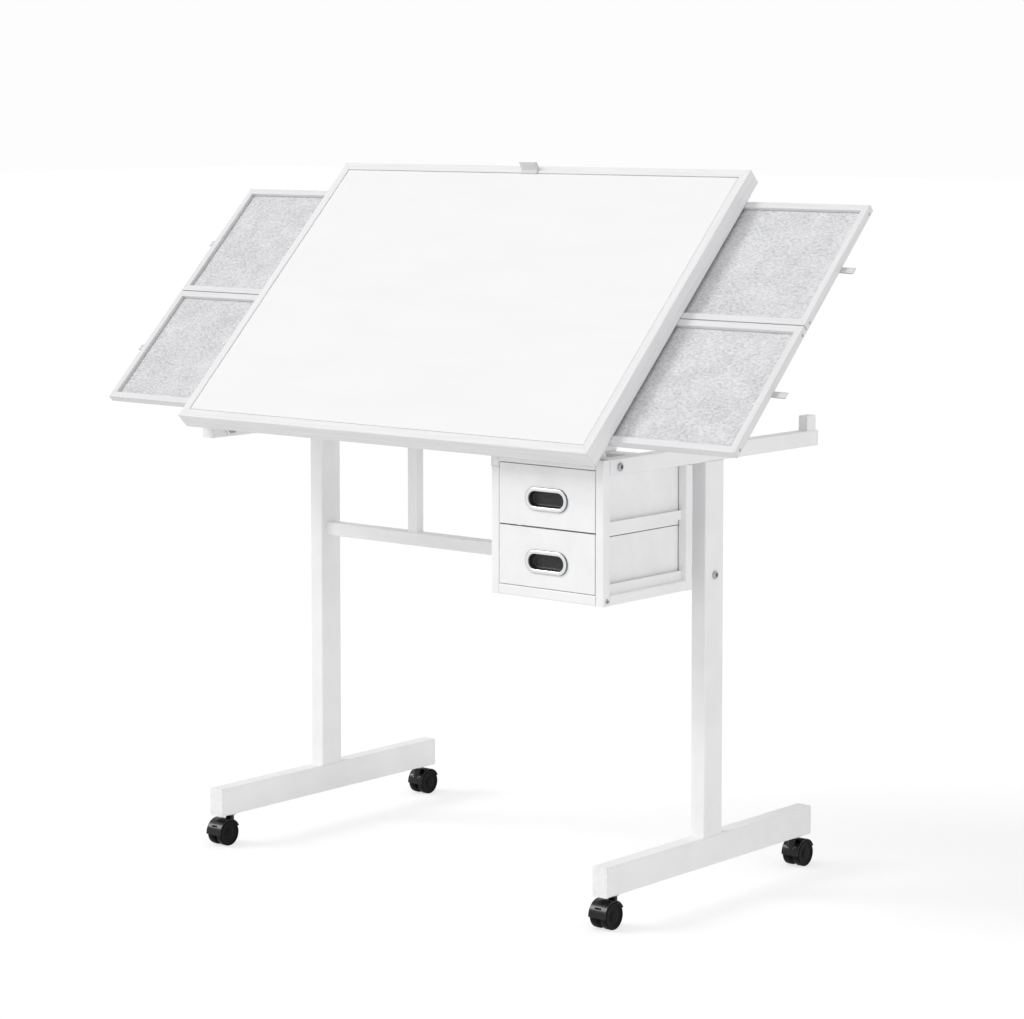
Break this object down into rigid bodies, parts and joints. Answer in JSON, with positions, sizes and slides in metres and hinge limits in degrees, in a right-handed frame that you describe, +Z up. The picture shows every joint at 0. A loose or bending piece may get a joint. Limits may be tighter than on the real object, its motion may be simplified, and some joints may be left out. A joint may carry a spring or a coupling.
{
  "type": "jigsaw puzzle table",
  "caption": "White wheeled puzzle table with a tilting covered board, felt-lined side trays that slide out, and a hanging cabinet with drawers.",
  "frame": {"origin": "on the floor under the middle of the table's box", "axes": "+X to the side that has the drawers, +Y from the front to the back, +Z up"},
  "size_m": [1.4546, 0.651, 1.2149],
  "materials": {
    "white_steel": "white powder coat, satin",
    "white_board": "white foil on fibreboard, satin",
    "white_plastic": "white plastic, matt",
    "grey_felt": "mottled light grey felt",
    "ribbon": "woven ribbon",
    "chrome_pull": "polished",
    "zinc_steel": "zinc plated",
    "black_plastic": "black, glossy"
  },
  "bodies": {
    "base": {"cabinet_back_panel": "white_board", "cabinet_bottom_panel": "white_board", "cabinet_cross_rails": "white_steel", "cabinet_hanger_rail": "white_steel", "cabinet_left_frame": "white_steel", "cabinet_right_frame": "white_steel", "caster_sockets": "zinc_steel", "drawer_runners": "white_steel", "frame_bolts": "zinc_steel", "left_foot": "white_steel", "left_side_rail": "white_steel", "left_upright": "white_steel", "mid_posts": "white_steel", "rest_posts": "white_steel", "right_foot": "white_steel", "right_side_rail": "white_steel", "right_upright": "white_steel", "stay_tracks": "white_steel", "stretcher": "white_steel", "tube_end_caps": "white_plastic", "upper_cross_rail": "white_steel"},
    "board": {"board_felt": "grey_felt", "board_panel": "white_board", "board_rim": "white_steel", "cover_panel": "white_plastic", "cover_tab": "ribbon", "front_guide": "white_steel", "hinge_lugs": "white_steel", "middle_guide": "white_steel", "rear_guide": "white_steel", "stay_lugs": "white_steel", "stay_pins": "zinc_steel"},
    "stay": {"prop_stay": "white_steel", "stay_rod": "zinc_steel"},
    "front_left_caster": {"front_left_caster_hood": "black_plastic"},
    "front_left_wheels": {"front_left_caster_wheels": "black_plastic"},
    "front_right_caster": {"front_right_caster_hood": "black_plastic"},
    "front_right_wheels": {"front_right_caster_wheels": "black_plastic"},
    "lower_drawer": {"lower_drawer_box": "white_board", "lower_drawer_front": "white_board", "lower_drawer_pull": "chrome_pull"},
    "lower_left_tray": {"lower_left_tray_bottom": "white_board", "lower_left_tray_fabric": "grey_felt", "lower_left_tray_frame": "white_board"},
    "lower_right_tray": {"lower_right_tray_bottom": "white_board", "lower_right_tray_fabric": "grey_felt", "lower_right_tray_frame": "white_board"},
    "rear_left_caster": {"rear_left_caster_hood": "black_plastic"},
    "rear_left_wheels": {"rear_left_caster_wheels": "black_plastic"},
    "rear_right_caster": {"rear_right_caster_hood": "black_plastic"},
    "rear_right_wheels": {"rear_right_caster_wheels": "black_plastic"},
    "upper_drawer": {"upper_drawer_box": "white_board", "upper_drawer_front": "white_board", "upper_drawer_pull": "chrome_pull"},
    "upper_left_tray": {"upper_left_tray_bottom": "white_board", "upper_left_tray_fabric": "grey_felt", "upper_left_tray_frame": "white_board"},
    "upper_right_tray": {"upper_right_tray_bottom": "white_board", "upper_right_tray_fabric": "grey_felt", "upper_right_tray_frame": "white_board"}
  },
  "joints": [
    {"name": "board_tilt", "type": "hinge", "parent": "base", "child": "board", "pos_m": [0, -0.2312, 0.7485], "axis": [1, 0, 0], "range_deg": [-45, 0]},
    {"name": "stay_pivot", "type": "hinge", "parent": "board", "child": "stay", "pos_m": [0, -0.04208, 0.93762], "axis": [1, 0, 0], "range_deg": [0, 90]},
    {"name": "lower_left_tray_slide", "type": "slide", "parent": "board", "child": "lower_left_tray", "axis": [-1, 0, 0], "range_m": [-0.2418, 0.058]},
    {"name": "lower_right_tray_slide", "type": "slide", "parent": "board", "child": "lower_right_tray", "axis": [1, 0, 0], "range_m": [-0.2418, 0.058]},
    {"name": "upper_left_tray_slide", "type": "slide", "parent": "board", "child": "upper_left_tray", "axis": [-1, 0, 0], "range_m": [-0.2418, 0.058]},
    {"name": "upper_right_tray_slide", "type": "slide", "parent": "board", "child": "upper_right_tray", "axis": [1, 0, 0], "range_m": [-0.2418, 0.058]},
    {"name": "lower_drawer_slide", "type": "slide", "parent": "base", "child": "lower_drawer", "axis": [0, -1, 0], "range_m": [0, 0.19]},
    {"name": "upper_drawer_slide", "type": "slide", "parent": "base", "child": "upper_drawer", "axis": [0, -1, 0], "range_m": [0, 0.19]},
    {"name": "front_left_swivel", "type": "hinge", "parent": "base", "child": "front_left_caster", "pos_m": [-0.437, -0.2274, 0.054], "axis": [0, 0, 1], "continuous": true},
    {"name": "front_left_wheel_spin", "type": "hinge", "parent": "front_left_caster", "child": "front_left_wheels", "pos_m": [-0.437, -0.2444, 0.0225], "axis": [1, 0, 0], "continuous": true},
    {"name": "front_right_swivel", "type": "hinge", "parent": "base", "child": "front_right_caster", "pos_m": [0.437, -0.2274, 0.054], "axis": [0, 0, 1], "continuous": true},
    {"name": "front_right_wheel_spin", "type": "hinge", "parent": "front_right_caster", "child": "front_right_wheels", "pos_m": [0.437, -0.2444, 0.0225], "axis": [1, 0, 0], "continuous": true},
    {"name": "rear_left_swivel", "type": "hinge", "parent": "base", "child": "rear_left_caster", "pos_m": [-0.437, 0.2786, 0.054], "axis": [0, 0, 1], "continuous": true},
    {"name": "rear_left_wheel_spin", "type": "hinge", "parent": "rear_left_caster", "child": "rear_left_wheels", "pos_m": [-0.437, 0.2956, 0.0225], "axis": [1, 0, 0], "continuous": true},
    {"name": "rear_right_swivel", "type": "hinge", "parent": "base", "child": "rear_right_caster", "pos_m": [0.437, 0.2786, 0.054], "axis": [0, 0, 1], "continuous": true},
    {"name": "rear_right_wheel_spin", "type": "hinge", "parent": "rear_right_caster", "child": "rear_right_wheels", "pos_m": [0.437, 0.2956, 0.0225], "axis": [1, 0, 0], "continuous": true}
  ],
  "couplings": [
    {"joint": "stay_pivot", "follows": "board_tilt", "ratio": -2}
  ]
}
